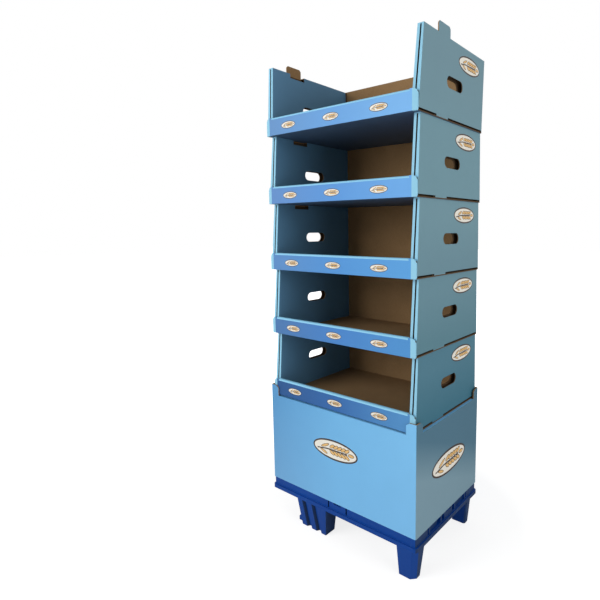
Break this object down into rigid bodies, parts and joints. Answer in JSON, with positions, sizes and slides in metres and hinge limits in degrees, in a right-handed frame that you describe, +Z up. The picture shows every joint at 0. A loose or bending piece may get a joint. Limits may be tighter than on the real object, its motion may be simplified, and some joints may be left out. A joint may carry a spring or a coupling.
{
  "type": "cardboard pallet display stand",
  "caption": "Free-standing sales display of stacked folded cardboard trays on a printed box and a small plastic pallet.",
  "frame": {"origin": "on the floor under the middle of the pallet", "axes": "+Z up, +X to the right seen from the front, +Y to the back, so the open tray fronts face -Y"},
  "size_m": [0.6, 0.4, 1.5605],
  "materials": {
    "pallet_plastic": "satin",
    "base_print": "matt print",
    "tray_print": "matt print",
    "kraft_board": "plain"
  },
  "bodies": {
    "root": {"pallet": "pallet_plastic", "base_box": "base_print", "divider_long": "kraft_board", "divider_left": "kraft_board", "divider_right": "kraft_board", "tray_1": "tray_print", "tray_2": "tray_print", "tray_3": "tray_print", "tray_4": "tray_print", "tray_5": "tray_print"}
  },
  "joints": []
}
